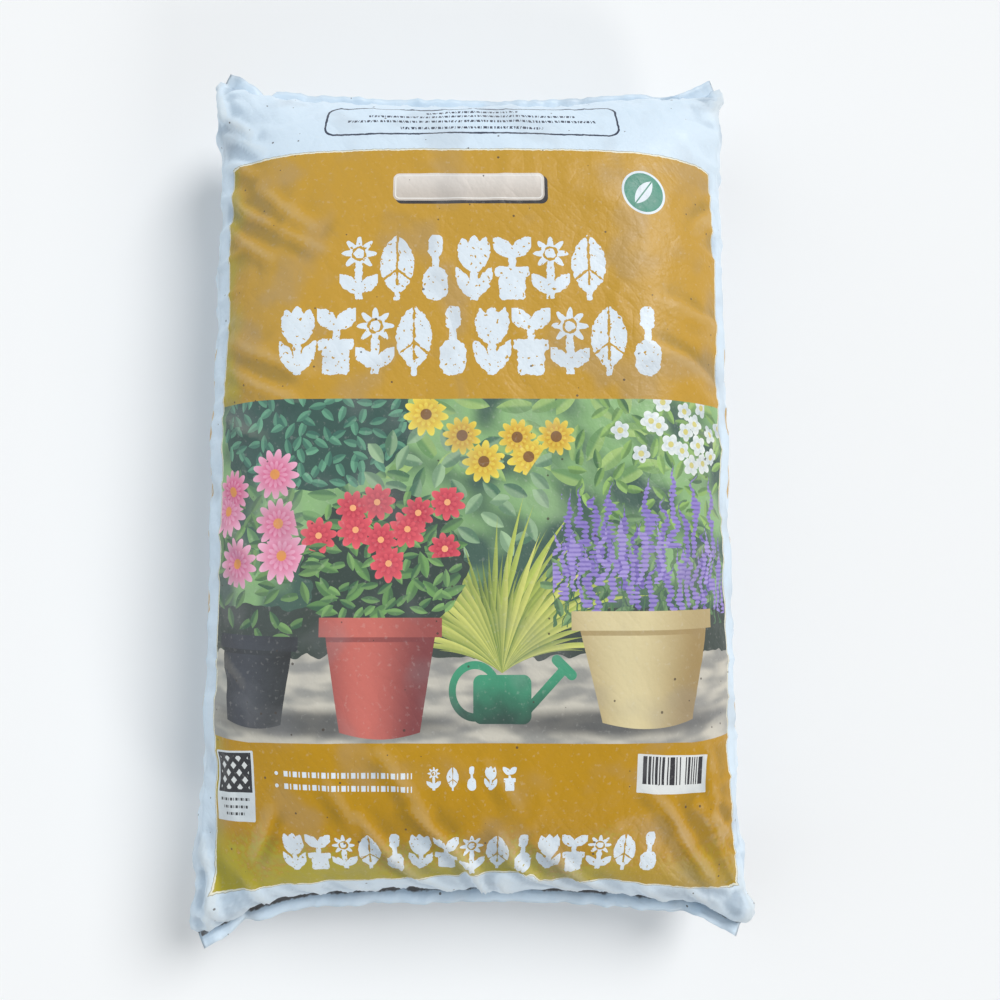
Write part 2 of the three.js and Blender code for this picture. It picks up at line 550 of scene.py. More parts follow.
def bag_mesh(tube, points, painted_light_and_grime):
    """The film as one closed mesh, with its two maps, its mark of painted light and grime, and a material for
    each part.
    """
    count, girth = len(points), tube.around * tube.step
    column, row = np.meshgrid(np.arange(tube.around), np.arange(count - 1))
    column, row = column.ravel(), row.ravel()
    after = (column + 1) % tube.around
    first, above = row * tube.around, (row + 1) * tube.around
    corners = np.stack([first + column, first + after, above + after, above + column], 1)
    shown = np.stack([column, column + 1, column + 1, column], 1).astype(float)
    rows = np.stack([row, row, row + 1, row + 1], 1).astype(float)
    around, along = film_place(tube, shown, rows, count)
    around -= girth * (around.mean(1, keepdims=True) > girth / 2)
    parts = film_part(around.mean(1), along.mean(1)).tolist()
    print_map = np.stack([around, along], -1).ravel().tolist()
    bake_map = np.stack(bake_place(tube, around, along, count), -1).ravel().tolist()
    faces = corners.tolist()
    for row, way in ((0, 1), (count - 1, -1)):
        for ring, shown, rise in end_faces(tube):
            faces.append([row * tube.around + k for k in ring][::way])
            at_row = np.full(len(ring), float(row))
            around, along = film_place(tube, np.array(shown[::way], float), at_row, count)
            if around.mean() > girth / 2:
                around -= girth
            across, up = bake_place(tube, around, along, count)
            up += np.sign(along) * BAKED_EDGE * np.array(rise[::way])
            print_map.extend(np.stack([around, along], 1).ravel().tolist())
            bake_map.extend(np.stack([across, up], 1).ravel().tolist())
            parts.append(BACK)

    mesh = bpy.data.meshes.new("film_bag")
    mesh.from_pydata(points.reshape(-1, 3).tolist(), [], faces)
    for name, places in (("OFBake", bake_map), ("Print", print_map)):
        mesh.uv_layers.new(name=name).uv.foreach_set("vector", places)
    mesh.attributes.new("PaintedLightAndGrime", "FLOAT", "POINT").data.foreach_set("value", painted_light_and_grime.ravel().tolist())
    mesh.polygons.foreach_set("use_smooth", [True] * len(faces))
    mesh.polygons.foreach_set("material_index", parts)
    mesh.update()
    return mesh


# Small language for patterns: a Shade is a number, place or colour worked out at each point of a surface


class Shade:
    """One socket of a material's nodes. Sums of shades and plain numbers add the nodes that work them out."""

    def __init__(self, socket):
        self.socket = socket

    def __add__(self, other):
        return combine("ADD", self, other)

    def __radd__(self, other):
        return combine("ADD", other, self)

    def __sub__(self, other):
        return combine("SUBTRACT", self, other)

    def __rsub__(self, other):
        return combine("SUBTRACT", other, self)

    def __mul__(self, other):
        return combine("MULTIPLY", self, other)

    def __rmul__(self, other):
        return combine("MULTIPLY", other, self)

    def __truediv__(self, other):
        return combine("DIVIDE", self, other)

    def __lt__(self, other):
        return combine("LESS_THAN", self, other)

    def __gt__(self, other):
        return combine("GREATER_THAN", self, other)

    def __abs__(self):
        return combine("ABSOLUTE", self)


def is_place(value):
    return isinstance(value, tuple) or (isinstance(value, Shade) and value.socket.type == "VECTOR")


def add_node(kind, inputs, **settings):
    """A node whose inputs, by name or number, are shades or plain values."""
    tree = next(v.socket.id_data for v in inputs.values() if isinstance(v, Shade))
    node = tree.nodes.new(kind)
    for name, value in settings.items():
        setattr(node, name, value)
    for name, value in inputs.items():
        if isinstance(value, Shade):
            tree.links.new(value.socket, node.inputs[name])
        else:
            node.inputs[name].default_value = value
    return node


def combine(operation, *values):
    """The result of one sum on numbers, or on places if any of the values is a place."""
    if any(is_place(v) for v in values):
        values = [(v, v, v) if isinstance(v, (int, float)) else v for v in values]
        node = add_node("ShaderNodeVectorMath", dict(enumerate(values)), operation=operation)
        flat = operation in ("LENGTH", "DOT_PRODUCT", "DISTANCE")
        return Shade(node.outputs["Value" if flat else "Vector"])
    node = add_node("ShaderNodeMath", dict(enumerate(values)), operation=operation)
    return Shade(node.outputs[0])


def parts_of(place):
    """The x and y of a place."""
    node = add_node("ShaderNodeSeparateXYZ", {0: place})
    return Shade(node.outputs["X"]), Shade(node.outputs["Y"])


def joined(x, y):
    node = add_node("ShaderNodeCombineXYZ", {"X": x, "Y": y})
    return Shade(node.outputs[0])


def smooth(value, start, end):
    """From 0 at start to 1 at end, with no kinks."""
    node = add_node("ShaderNodeMapRange", {"Value": value, "From Min": start, "From Max": end},
                    interpolation_type="SMOOTHSTEP")
    return Shade(node.outputs[0])


def both(*masks):
    result = masks[0]
    for mask in masks[1:]:
        result = result * mask
    return result


def either(a, b):
    return combine("MAXIMUM", a, b)


def nearest(*distances):
    """The distance from the nearest of several shapes."""
    result = distances[0]
    for distance in distances[1:]:
        result = combine("MINIMUM", result, distance)
    return result


def chance_of(number):
    """A random number from 0 to 1 that belongs to a whole number."""
    node = add_node("ShaderNodeTexWhiteNoise", {"W": number}, noise_dimensions="1D")
    return Shade(node.outputs[0])


def noisy(place, size, detail=2.0):
    """Smooth noise around 0.5 on the flat print, with lumps of this size."""
    node = add_node("ShaderNodeTexNoise", {"Vector": place, "Scale": 1 / size, "Detail": detail},
                    noise_dimensions="2D")
    return Shade(node.outputs["Fac"])


def scattered(place, size, spread=0.9):
    """The nearest of scattered points: where it is, and two random numbers of its own."""
    node = add_node("ShaderNodeTexVoronoi", {"Vector": place, "Scale": 1 / size, "Randomness": spread},
                    voronoi_dimensions="2D")
    chance = add_node("ShaderNodeSeparateColor", {0: Shade(node.outputs["Color"])})
    return Shade(node.outputs["Position"]), Shade(chance.outputs[0]), Shade(chance.outputs[1])


def mixed(under, over, share):
    node = add_node("ShaderNodeMix", {0: share, 6: under, 7: over}, data_type="RGBA")
    return Shade(node.outputs[2])


def ink(red, green, blue):
    """A colour by its usual 0 to 255 numbers."""
    shares = (number / 255 for number in (red, green, blue))
    linear = [share / 12.92 if share < 0.04 else ((share + 0.055) / 1.055) ** 2.4 for share in shares]
    return (*linear, 1.0)


# Outlines in print millimetres: each gives the distance from a shape, negative or nothing inside


def to_box(place, centre, half, corner=0):
    reach = abs(place - (*centre, 0)) - (half[0] - corner, half[1] - corner, 1)
    return combine("LENGTH", combine("MAXIMUM", reach, (0, 0, 0))) - corner


def to_disc(place, centre, radius):
    return combine("DISTANCE", place, (*centre, 0)) - radius


def to_ellipse(place, centre, half):
    """Distance from an ellipse, near enough close to its edge."""
    scaled = (place - (*centre, 0)) * (1 / half[0], 1 / half[1], 0)
    return (combine("LENGTH", scaled) - 1) * min(half)


def turned(place, centre, degrees):
    """The same place seen from a centre, after turning the pattern round it anticlockwise."""
    turn = {"Vector": place, "Center": (*centre, 0), "Angle": -math.radians(degrees)}
    node = add_node("ShaderNodeVectorRotate", turn, rotation_type="Z_AXIS")
    return Shade(node.outputs[0]) - (*centre, 0)


def sloped(x, y, centre, slope):
    """The same place seen from a centre, with upright sides and a top and foot that rise by this slope."""
    across = x - centre[0]
    return joined(across, y - centre[1] - across * slope)


def to_bar(place, start, end, radius):
    """Distance from a bar with round ends."""
    run = (end[0] - start[0], end[1] - start[1])
    middle = ((start[0] + end[0]) / 2, (start[1] + end[1]) / 2)
    local = turned(place, middle, math.degrees(math.atan2(run[1], run[0])))
    return to_box(local, (0, 0), (math.hypot(*run) / 2 + radius, radius), radius)


def to_leaf(place, centre, half_length, half_width, degrees=0):
    """Distance from a pointed leaf that stands upright, or leans to the left by some degrees."""
    local = abs(turned(place, centre, degrees))
    radius = (half_length ** 2 + half_width ** 2) / (2 * half_width)
    return combine("DISTANCE", local, (half_width - radius, 0, 0)) - radius


def clamped(value):
    node = add_node("ShaderNodeClamp", {0: value})
    return Shade(node.outputs[0])


def between(value, low, high):
    return both(value > low, value < high)


# Print, in millimetres on the flat front: x to the right and y up from its middle

PANEL_LEFT, PANEL_RIGHT = -173.5, 178
GOLD_TOP = 215.6
PICTURE_TOP, PICTURE_FOOT = 46.8, -168.5
GOLD_FOOT = -263

WHITE_FILM = ink(214, 230, 243)
# Gold paled by a painted reflection of the sky, and the deep gold ink as printed
SHEENED_GOLD = ink(193, 149, 46)
DEEP_GOLD = ink(182, 136, 0)
OLIVE = ink(172, 158, 40)
PALE_LINE = ink(236, 234, 214)
PRINT_WHITE = ink(224, 234, 242)
NAVY = ink(34, 44, 68)


def panel_ground(place, x, y, wear):
    """The gold panels with their pale outline, on the white film."""
    sag = GOLD_FOOT - 8 * combine("POWER", abs((x - 10) / 175), 1.6)
    sag = sag + 7 * both(smooth(x, -8, -2), smooth(x, 48, 40))
    right = PANEL_RIGHT + 5 * smooth(y, -176, -216)
    beyond = either(either(y - GOLD_TOP, sag - y), either(PANEL_LEFT - x, x - right))
    beyond = beyond + (wear - 0.5) * 1.2
    # The gold is paler towards the top: a painted reflection of the sky on the upper panel
    gold = mixed(SHEENED_GOLD, DEEP_GOLD, smooth(y, 40, -190))
    shade = noisy(place, 38, 1)
    green = smooth(y + (wear + shade - 1) * 46, -228, -254) * (1 - 0.65 * smooth(x, 60, 120))
    green = either(green, smooth(x + (shade - 0.5) * 40, -152, -174) * 0.8)
    gold = mixed(gold, OLIVE, green)
    colour = mixed(WHITE_FILM, ink(150, 138, 104), (beyond < 1.5) * 0.7)
    colour = mixed(colour, PALE_LINE, beyond < 1)
    return mixed(colour, gold, beyond < 0)


def tulip(place, mirrored):
    head = nearest(to_leaf(mirrored, (4.6, 8.5), 10.5, 4.4, -14), to_leaf(place, (0, 9), 11, 5.2))
    stem = to_box(place, (0, -8), (1.7, 11.5))
    leaf = to_leaf(mirrored, (6, -9.5), 10, 3.2, -26)
    return nearest(head, stem, leaf)


def sprout_pot(place, mirrored):
    pot = nearest(to_box(place, (0, -12), (7.2, 7.5), 1.5), to_box(place, (0, -2.4), (9.8, 2.6), 0.8))
    stem = to_box(place, (0, 5), (1.5, 7))
    leaf = to_leaf(mirrored, (5.6, 13), 8.5, 4.2, -48)
    return nearest(pot, stem, leaf)


def daisy(place, mirrored):
    way = place - (0, 9, 0)
    x, y = parts_of(way)
    out = combine("LENGTH", way)
    petals = out - 7.6 - 2.6 * combine("COSINE", combine("ARCTAN2", y, x) * 8)
    petals = either(petals, 1.5 - abs(out - 3.8))
    stem = to_box(place, (0, -9), (1.6, 10))
    leaf = to_leaf(mirrored, (6.2, -10), 8, 3.4, -48)
    return nearest(petals, stem, leaf)


def big_leaf(place, mirrored):
    blade = to_leaf(place, (0, 2), 18, 9.8)
    rib = 1.5 - abs(parts_of(place)[0])
    vein = 1.4 - abs(parts_of(turned(mirrored, (0, -1), 52))[0])
    stalk = to_box(place, (0, -16), (1, 4))
    return nearest(either(either(blade, rib), vein), stalk)


def trowel(place, mirrored):
    blade = to_box(place, (0, -10), (7, 10), 6.7)
    neck = to_box(place, (0, 4), (1.4, 5))
    grip = to_box(place, (0, 14), (3.6, 6.5), 3.4)
    return nearest(blade, neck, grip)


GARDEN_SHAPES = (tulip, sprout_pot, daisy, big_leaf, trowel)
FATTER = 0.75


def frieze(x, y, split, lower, upper, wear):
    """Two worn rows of garden silhouettes, each given by its left end, pitch, count, height and size."""
    above = y > split
    start, pitch, count, height, size = (
        combine("MULTIPLY_ADD", above, b - a, a) if a != b else a for a, b in zip(lower, upper))
    at = (x - start) / pitch
    number = combine("FLOOR", at)
    local = joined((at - number - 0.5) * pitch / size, (y - height) / size)
    across, up = parts_of(local)
    mirrored = joined(abs(across), up)
    kind = combine("FLOORED_MODULO", number + above * 2, len(GARDEN_SHAPES))
    edge = FATTER - (wear - 0.5) * 2.4
    shown = 0
    for k, shape in enumerate(GARDEN_SHAPES):
        shown = both(shape(local, mirrored) < edge, combine("COMPARE", kind, k, 0.5)) + shown
    return both(shown, number > -0.5, number < count - 0.5, abs(up) < 21)


def stitches(x, y, rows, pitch, thick, middle):
    """Rows of short dashes and dots, as (height, half width) each, all centred on the same line."""
    turn = combine("FRACT", x / pitch)
    dash = either(between(turn, 0.08, 0.52), between(turn, 0.70, 0.84))
    shown = 0
    for height, reach in rows:
        shown = both(abs(y - height) < thick, abs(x - middle) < reach) + shown
    return both(shown, dash)


def upper_print(place, x, y, wear, colour):
    """The print above the picture, from the bag's top down."""
    # Outline box with rows of stitches
    edge = abs(to_box(place, (1.4, 247.2), (104, 16.4), 8) + (wear - 0.5))
    rows = ((258, 34), (251.6, 74), (244.8, 88), (236.8, 50))
    lines = stitches(x + (wear - 0.5) * 3, y, rows, 4.6, 1.35, 1.2)
    colour = mixed(colour, NAVY, either(edge < 0.75, lines))
    # Bare plate with its shadow
    shadow = to_box(place, (1.2, 186.6), (50.6, 9.6), 4.2)
    colour = mixed(colour, ink(46, 44, 46), shadow < 0)
    plate = to_box(place, (-0.8, 188.6), (50.4, 9.4), 4.2)
    sheen = mixed(ink(200, 190, 180), ink(226, 218, 210), smooth(y, 180, 197))
    colour = mixed(colour, sheen, plate < 0)
    colour = mixed(colour, ink(236, 232, 226), abs(plate + 1.6) < 0.4)
    # Round leaf badge
    badge = to_disc(place, (117, 186.8), 15.6)
    colour = mixed(colour, PRINT_WHITE, badge < 0)
    leaf = either(to_leaf(place, (117, 186.8), 11, 4.6, -38),
                  0.5 - abs(parts_of(turned(place, (117, 186.8), -38))[0]))
    colour = mixed(colour, ink(18, 130, 104), both(badge < -1.6, leaf > 0))
    # Two rows of garden silhouettes
    shown = frieze(x, y, 109, (-124.6, 25.25, 10, 84.8, 1.10), (-85, 25, 7, 133.4, 1.06), wear)
    return mixed(colour, PRINT_WHITE, both(shown, noisy(place, 2.8, 1) < 0.725))


def lower_print(place, x, y, wear, colour):
    """The print below the picture."""
    # Small label: a dark block of white lozenges over three stitched lines
    label = sloped(x, y, (-155.2, -200), 0.13)
    across, up = parts_of(label)
    colour = mixed(colour, ink(216, 222, 224), to_box(label, (0, 0), (16.6, 22.4), 1.2) < 0)
    colour = mixed(colour, ink(24, 26, 32), to_box(label, (0, 8.6), (14.8, 12.6), 0.4) < 0)
    slanted = parts_of(turned(label, (0, 8.6), 45))
    check = both(*(combine("FRACT", way / 6.6 + 0.25) > 0.48 for way in slanted))
    check = both(check, to_box(label, (0, 8.6), (12.6, 10.6)) < 0.01)
    colour = mixed(colour, ink(226, 228, 226), check)
    rows = ((-8.4, 12.6), (-13.2, 10.4), (-17.6, 7.6))
    colour = mixed(colour, ink(40, 42, 46), stitches(across, up, rows, 4.2, 0.9, 0))
    # Two fine lines with round marks before them
    lines = stitches(x, y, ((-187.8, 41), (-195.6, 41)), 6.2, 1.7, -77)
    marks = nearest(to_disc(place, (-122.4, -187.8), 1.2), to_disc(place, (-122.4, -195.6), 1.2))
    colour = mixed(colour, PRINT_WHITE, either(lines, marks < 0))
    # Striped block
    block = sloped(x, y, (129.8, -190), -0.097)
    colour = mixed(colour, ink(224, 226, 224), to_box(block, (0, 0.6), (25.2, 12), 0.6) < 0)
    stripe = chance_of(combine("FLOOR", parts_of(block)[0] / 0.9))
    bars = both(stripe < 0.52, to_box(block, (0, 2.8), (21.6, 8.6)) < 0.01)
    colour = mixed(colour, ink(30, 30, 36), bars)
    # Small and smaller rows of garden silhouettes
    shown = frieze(x, y, -212, (-122.6, 16.5, 15, -239.6, 0.69), (-28.4, 11.8, 5, -189.6, 0.35), wear)
    return mixed(colour, PRINT_WHITE, both(shown, noisy(place, 2, 1) < 0.735))


# The garden picture: an own planting of pots, blooms and leaves. Colours are given by their usual 0 to 255
# numbers, and an ellipse by the x and y of its middle and its half width and height.
FULL_TURN = 6.283


def in_ellipse(place, ellipse):
    """1 for the places in an ellipse."""
    x, y, half_width, half_height = ellipse
    scaled = (place - (x, y, 0)) * (1 / half_width, 1 / half_height, 0)
    return combine("DOT_PRODUCT", scaled, scaled) < 1


def leaves(under, place, clump, size, shift, dark, light, fullness=0.62, slim=0.36):
    """A layer of scattered leaves, each turned its own way, with a lit half and a shaded half."""
    moved = place + (*shift, 0)
    spot, chance, other = scattered(moved, size)
    turn = {"Vector": moved - spot, "Angle": chance * FULL_TURN}
    along, side = parts_of(Shade(add_node("ShaderNodeVectorRotate", turn, rotation_type="Z_AXIS").outputs[0]))
    reach = along / (size * fullness)
    width = slim * size * fullness * (1 - reach * reach)
    shown = both(abs(side) < width, in_ellipse(spot - (*shift, 0), clump))
    lit = smooth(side, -0.06 * size, 0.06 * size) * 0.5 + other * 0.5
    return mixed(under, mixed(ink(*dark), ink(*light), lit), shown)


def blooms(under, place, clump, size, shift, petals, radius, inner, outer, eye, eye_share=0.26):
    """A layer of scattered flowers with cut petals, a darker throat and an eye."""
    moved = place + (*shift, 0)
    spot, chance, other = scattered(moved, size, 0.75)
    away = moved - spot
    x, y = parts_of(away)
    out = combine("LENGTH", away)
    turn = combine("ARCTAN2", y, x) + chance * FULL_TURN
    lobes = abs(combine("COSINE", turn * (petals / 2)))
    reach = radius * (0.80 + 0.20 * other) * (0.66 + 0.34 * lobes)
    share = out / reach
    inner_ring = combine("FRACT", share * 1.9) * 0.34
    tone = clamped(share * 0.55 + lobes * 0.40 + inner_ring - 0.30 + (other - 0.5) * 0.3)
    here = in_ellipse(spot - (*shift, 0), clump)
    colour = mixed(under, mixed(ink(*inner), ink(*outer), tone), both(share < 1, here))
    return mixed(colour, ink(*eye), both(out < eye_share * radius, here))


def blades(under, place, root, count, reach, half_turn, dark, light):
    """A tuft of grass that fans out and arches over from its root."""
    x, y = parts_of(place - (*root, 0))
    out = combine("LENGTH", joined(x, y))
    share = out / reach
    turn = combine("ARCTAN2", x, y) / (1 + share * 0.7)
    at = turn * count
    number = combine("FLOOR", at)
    own = chance_of(number)
    side = at - number - 0.5
    left = 1 - share / (0.55 + 0.45 * own)
    half = 1.5 * count * smooth(left, 0, 0.5) / (out + 4)
    lit = clamped(own * 0.55 + smooth(side, -0.3, 0.3) * 0.25 + share * 0.35)
    shown = both(abs(side) < half, abs(turn) < half_turn, left > 0)
    return mixed(under, mixed(ink(*dark), ink(*light), lit), shown)


def spikes(under, x, y, lean, pitch, foot, height, dark, light, stalk, left, right):
    """Upright flower spikes on stalks, each of its own height."""
    at = (x + lean) / pitch
    column = combine("FLOOR", at)
    own = chance_of(column)
    top = foot + height * (0.55 + 0.45 * own)
    off = abs(at - column - 0.5)
    here = between(x, left, right)
    colour = mixed(under, ink(*stalk), both(off < 0.09, y < top, here, y > foot))
    run = (top - y) / (height * 0.55)
    beads = abs(combine("SINE", y * 1.1 + own * 9))
    head = off < (0.16 + 0.22 * beads) * smooth(run, 0, 0.35)
    flower = mixed(ink(*dark), ink(*light), beads * 0.6 + own * 0.4)
    return mixed(colour, flower, both(head, between(run, 0, 1), here))


def pot(under, x, y, centre, top, foot, half_top, half_foot, rim, dark, light):
    """A round pot with a rim, lit from the left."""
    dark, light = ink(*dark), ink(*light)
    share = (y - foot) / (top - foot)
    half = share * (half_top - half_foot) + half_foot
    across = (x - centre) / half
    lit = smooth(abs(across + 0.35), 1.25, 0)
    bowed = share + 0.06 * (1 - across * across)
    wall = both(abs(across) < 1, between(bowed, 0, 1))
    colour = mixed(under, mixed(dark, light, lit), wall)
    colour = mixed(colour, dark, both(wall, between(y, top - rim - 3, top - rim)) * 0.7)
    band = both(abs(x - centre) < half_top + 2.5, between(y, top - rim, top))
    return mixed(colour, mixed(dark, light, clamped(lit * 0.8 + 0.3)), band)


HEDGE = (-104, 30, 66, 42)
BUSH = (-54, -58, 52, 46)


def garden_picture(place, x, y):
    """Pots of flowers on pale paving before a hedge."""
    haze = noisy(place, 40, 1)
    rough = noisy(place, 13, 1) - 0.5
    wavy = place + joined(rough * 16, rough * 12)
    colour = mixed(ink(52, 84, 70), ink(140, 182, 120), smooth(haze + y * 0.0016, 0.34, 0.62))
    colour = leaves(colour, place, (40, 36, 150, 46), 21, (31, 7), (92, 138, 84), (174, 204, 120))
    colour = leaves(colour, place, (-96, -22, 92, 44), 16, (5, 23), (44, 92, 64), (128, 170, 108))
    # Dark hedge at the top left
    colour = mixed(colour, ink(28, 70, 60), in_ellipse(wavy, HEDGE))
    colour = leaves(colour, place, HEDGE, 8.5, (3, 11), (36, 92, 78), (104, 166, 132), 0.72, 0.40)
    # Pale leaves behind the middle, with the yellow blooms before them
    colour = leaves(colour, place, (-8, -10, 66, 42), 15, (9, 29), (58, 104, 78), (164, 196, 152), 0.6, 0.44)
    colour = blooms(colour, place, (10, 26, 58, 22), 26, (8, 6), 11, 15,
                    (206, 150, 24), (246, 226, 84), (128, 84, 22), 0.24)
    # White blossoms over bright leaves at the top right
    colour = leaves(colour, place, (130, 6, 66, 56), 12, (17, 5), (54, 100, 56), (156, 196, 104))
    colour = blooms(colour, place, (138, 26, 46, 22), 14, (5, 3), 5, 7.6,
                    (200, 212, 216), (240, 244, 240), (214, 204, 120))
    # Paving, with the shade under the plants
    streaks = smooth(noisy(place * (0.35, 1, 1), 9, 1), 0.3, 0.7)
    paving = mixed(ink(150, 148, 142), ink(204, 198, 184), streaks)
    ground = y + rough * 10
    colour = mixed(colour, ink(40, 52, 44), ground < -86)
    colour = mixed(colour, paving, ground < -116)
    shadow = nearest(to_ellipse(place, (-92, -157), (84, 8)), to_ellipse(place, (92, -156), (74, 8)))
    colour = mixed(colour, ink(66, 66, 66), smooth(shadow, 4, -4) * 0.85)
    # Tall grass in the middle
    colour = blades(colour, place, (14, -122), 22, 118, 0.85, (52, 84, 40), (190, 204, 92))
    colour = blades(colour, place, (20, -126), 15, 98, 0.95, (92, 122, 44), (222, 222, 120))
    # Lavender in the cream pot on the right
    colour = leaves(colour, place, (112, -66, 66, 40), 11, (12, 2), (40, 78, 54), (132, 168, 112))
    lean = rough * 14
    colour = spikes(colour, x, y, lean, 8.4, -92, 100,
                    (84, 62, 150), (150, 132, 206), (88, 124, 78), 58, 172)
    colour = spikes(colour, x, y, lean * -1, 6.2, -98, 72,
                    (96, 74, 164), (176, 158, 222), (70, 110, 70), 52, 177)
    colour = pot(colour, x, y, 112, -88, -156, 46, 30, 12, (158, 132, 80), (222, 206, 158))
    # Coral blooms in the terracotta pot left of the middle
    colour = mixed(colour, ink(26, 48, 38), in_ellipse(wavy, BUSH))
    colour = leaves(colour, place, BUSH, 15, (2, 41), (34, 76, 50), (112, 160, 86))
    colour = leaves(colour, place, BUSH, 10, (7, 4), (44, 88, 56), (130, 174, 100))
    colour = blooms(colour, place, (-54, -34, 50, 26), 21, (1, 9), 9, 12.6,
                    (176, 30, 60), (238, 92, 104), (252, 176, 120), 0.16)
    colour = pot(colour, x, y, -56, -92, -162, 36, 25, 12, (120, 46, 48), (202, 104, 92))
    # Pink blooms in the dark pot at the left edge
    colour = leaves(colour, place, (-136, -60, 42, 52), 12, (22, 13), (36, 78, 50), (120, 160, 92))
    colour = blooms(colour, place, (-136, -42, 38, 46), 31, (14, 12), 13, 18.5,
                    (214, 76, 128), (248, 186, 212), (232, 150, 70), 0.18)
    colour = pot(colour, x, y, -138, -104, -158, 28, 20, 9, (8, 9, 13), (46, 48, 58))
    # Green watering can before the grass
    body, spout = to_box(place, (20, -142), (18, 15), 5), to_bar(place, (34, -150), (58, -124), 2.8)
    handle = abs(to_ellipse(place, (3, -137), (14, 16))) - 2.2
    can = nearest(body, spout, handle, to_bar(place, (54, -118), (63, -127), 3.2))
    lit = smooth(y + rough * 14, -160, -122)
    return mixed(colour, mixed(ink(12, 56, 44), ink(56, 150, 112), lit), can < 0)


def picture_print(place, x, y, wear, colour):
    """The garden picture, a little faded, with the bowed foot of its frame."""
    picture = garden_picture(place, x, y)
    faded = mixed(picture, ink(176, 184, 186), 0.05)
    outer = clamped((abs(x) - 100) / 75)
    heel = PICTURE_FOOT - 7 * outer * outer
    framed = both(y < PICTURE_TOP, y > heel, x > PANEL_LEFT, x < PANEL_RIGHT)
    return mixed(colour, faded, framed)


def gusset_print(place, x, y, wear, colour):
    """Gold leaves along the side gussets, which carry no panel."""
    pitch, lean = 40, 30
    turn = (y + pitch / 2) / pitch
    number = combine("FLOOR", turn)
    local = joined(abs(x) - 196, (turn - number - 0.5) * pitch)
    rib = 0.9 - abs(parts_of(turned(local, (0, 0), lean))[0])
    leaf = either(to_leaf(local, (0, 0), 16, 8, lean), rib)
    shown = both((leaf + (wear - 0.5) * 2) < 0, between(number, -4.5, 2.5))
    return mixed(WHITE_FILM, SHEENED_GOLD, shown)


# Film finish: smears, rubbed spots and grit, and painted light and shade, each kind with its size in
# millimetres and the most of it that shows
SMEAR_SIZE, SMEAR_SHARE = 44, 0.20
RUB_SHARE = 0.10
CREST_HIGHLIGHT_SHARE = 0.62
SHADE_SHARE, SHADED = 0.68, (0.50, 0.56, 0.62)
GRIME_AND_SHADOW_SHARE = 0.9
GRIT_SIZE, GRIT_RADIUS, GRIT_SHARE = 10, 0.9, 0.8
ROUGHNESS_LOW, ROUGHNESS_RANGE = 0.34, 0.18
GLOSS = 0.42


def film_wear_and_painted_light(colour, place, wear, painted_light_and_grime):
    """Smears and rubbed spots, a painted highlight on fold crests, painted shade in hollows, grime and
    painted shadow in the welds, and grit.
    """
    smear = smooth(noisy(place, SMEAR_SIZE, 2), 0.50, 0.72)
    colour = mixed(colour, ink(140, 140, 142), smear * SMEAR_SHARE)
    colour = mixed(colour, ink(236, 234, 226), smooth(wear, 0.62, 0.80) * RUB_SHARE)
    # Painted highlight along fold crests
    colour = mixed(colour, ink(240, 230, 206), clamped(painted_light_and_grime * -1) * CREST_HIGHLIGHT_SHARE)
    # Painted shade in hollows and along fold lines
    shade = smooth(painted_light_and_grime + (wear - 0.5) * 0.15, 0.04, 0.62)
    colour = mixed(colour, colour * SHADED, shade * SHADE_SHARE)
    # Grime and painted shadow in the crevice at each weld
    grime_and_shadow = smooth(painted_light_and_grime + (wear - 0.5) * 0.5, 0.66, 0.98)
    colour = mixed(colour, ink(58, 46, 36), grime_and_shadow * GRIME_AND_SHADOW_SHARE)
    spot, chance, other = scattered(place, GRIT_SIZE, 1)
    grit = both(combine("DISTANCE", place * (1, 1, 0), spot) < GRIT_RADIUS * other, chance > 0.88)
    return mixed(colour, ink(62, 52, 44), grit * GRIT_SHARE)


def film_height(place):
    """The film's fine relief in millimetres: compost grains pressing through, and slack creases."""
    grains = noisy(place, 3, 1) * 0.20
    slack = abs(noisy(place * (1, 0.6, 1), 24, 1) - 0.5)
    x, y = parts_of(place)
    wrinkles = abs(noisy(joined(x + y * 0.8, y * 0.35), 10, 0) - 0.5)
    return grains + combine("POWER", slack, 0.7) * 0.8 + combine("POWER", wrinkles, 0.7) * 0.30


def film_material(name, paint):
    """One part of the film's print, under the same satin finish."""
    material = bpy.data.materials.new(name)
    material.use_nodes = True
    tree = material.node_tree
    shader = tree.nodes["Principled BSDF"]
    uv = tree.nodes.new("ShaderNodeUVMap")
    uv.uv_map = "Print"
    place = Shade(uv.outputs[0]) * 1000
    x, y = parts_of(place)
    # The mark of painted shade, painted highlight and grime that the creased film carries
    painted_light_and_grime = tree.nodes.new("ShaderNodeAttribute")
    painted_light_and_grime.attribute_name = "PaintedLightAndGrime"
    painted_light_and_grime = Shade(painted_light_and_grime.outputs["Fac"])
    wear = noisy(place, 3.4, 2)
    if paint in (None, gusset_print):
        colour = mixed(WHITE_FILM, ink(200, 216, 231), wear)
    else:
        colour = panel_ground(place, x, y, wear)
    if paint is not None:
        colour = paint(place, x, y, wear, colour)
    colour = film_wear_and_painted_light(colour, place, wear, painted_light_and_grime)
    tree.links.new(colour.socket, shader.inputs["Base Color"])
    rough = ROUGHNESS_LOW + ROUGHNESS_RANGE * noisy(place, 18, 1)
    tree.links.new(rough.socket, shader.inputs["Roughness"])
    shader.inputs["Specular IOR Level"].default_value = GLOSS
    bump = add_node("ShaderNodeBump", {"Height": film_height(place), "Strength": 1, "Distance": 0.001})
    tree.links.new(bump.outputs[0], shader.inputs["Normal"])
    return material


# Camera, with its place on a line from the point that it looks at
LOOK_AT = Vector((0, 0, 0.06))
CAMERA_DISTANCE = 0.6
CAMERA_ELEVATION = math.radians(84.3)
CAMERA_LENS = 29.5
SHIFT_ACROSS = 0.030
SHIFT_UP = -0.018


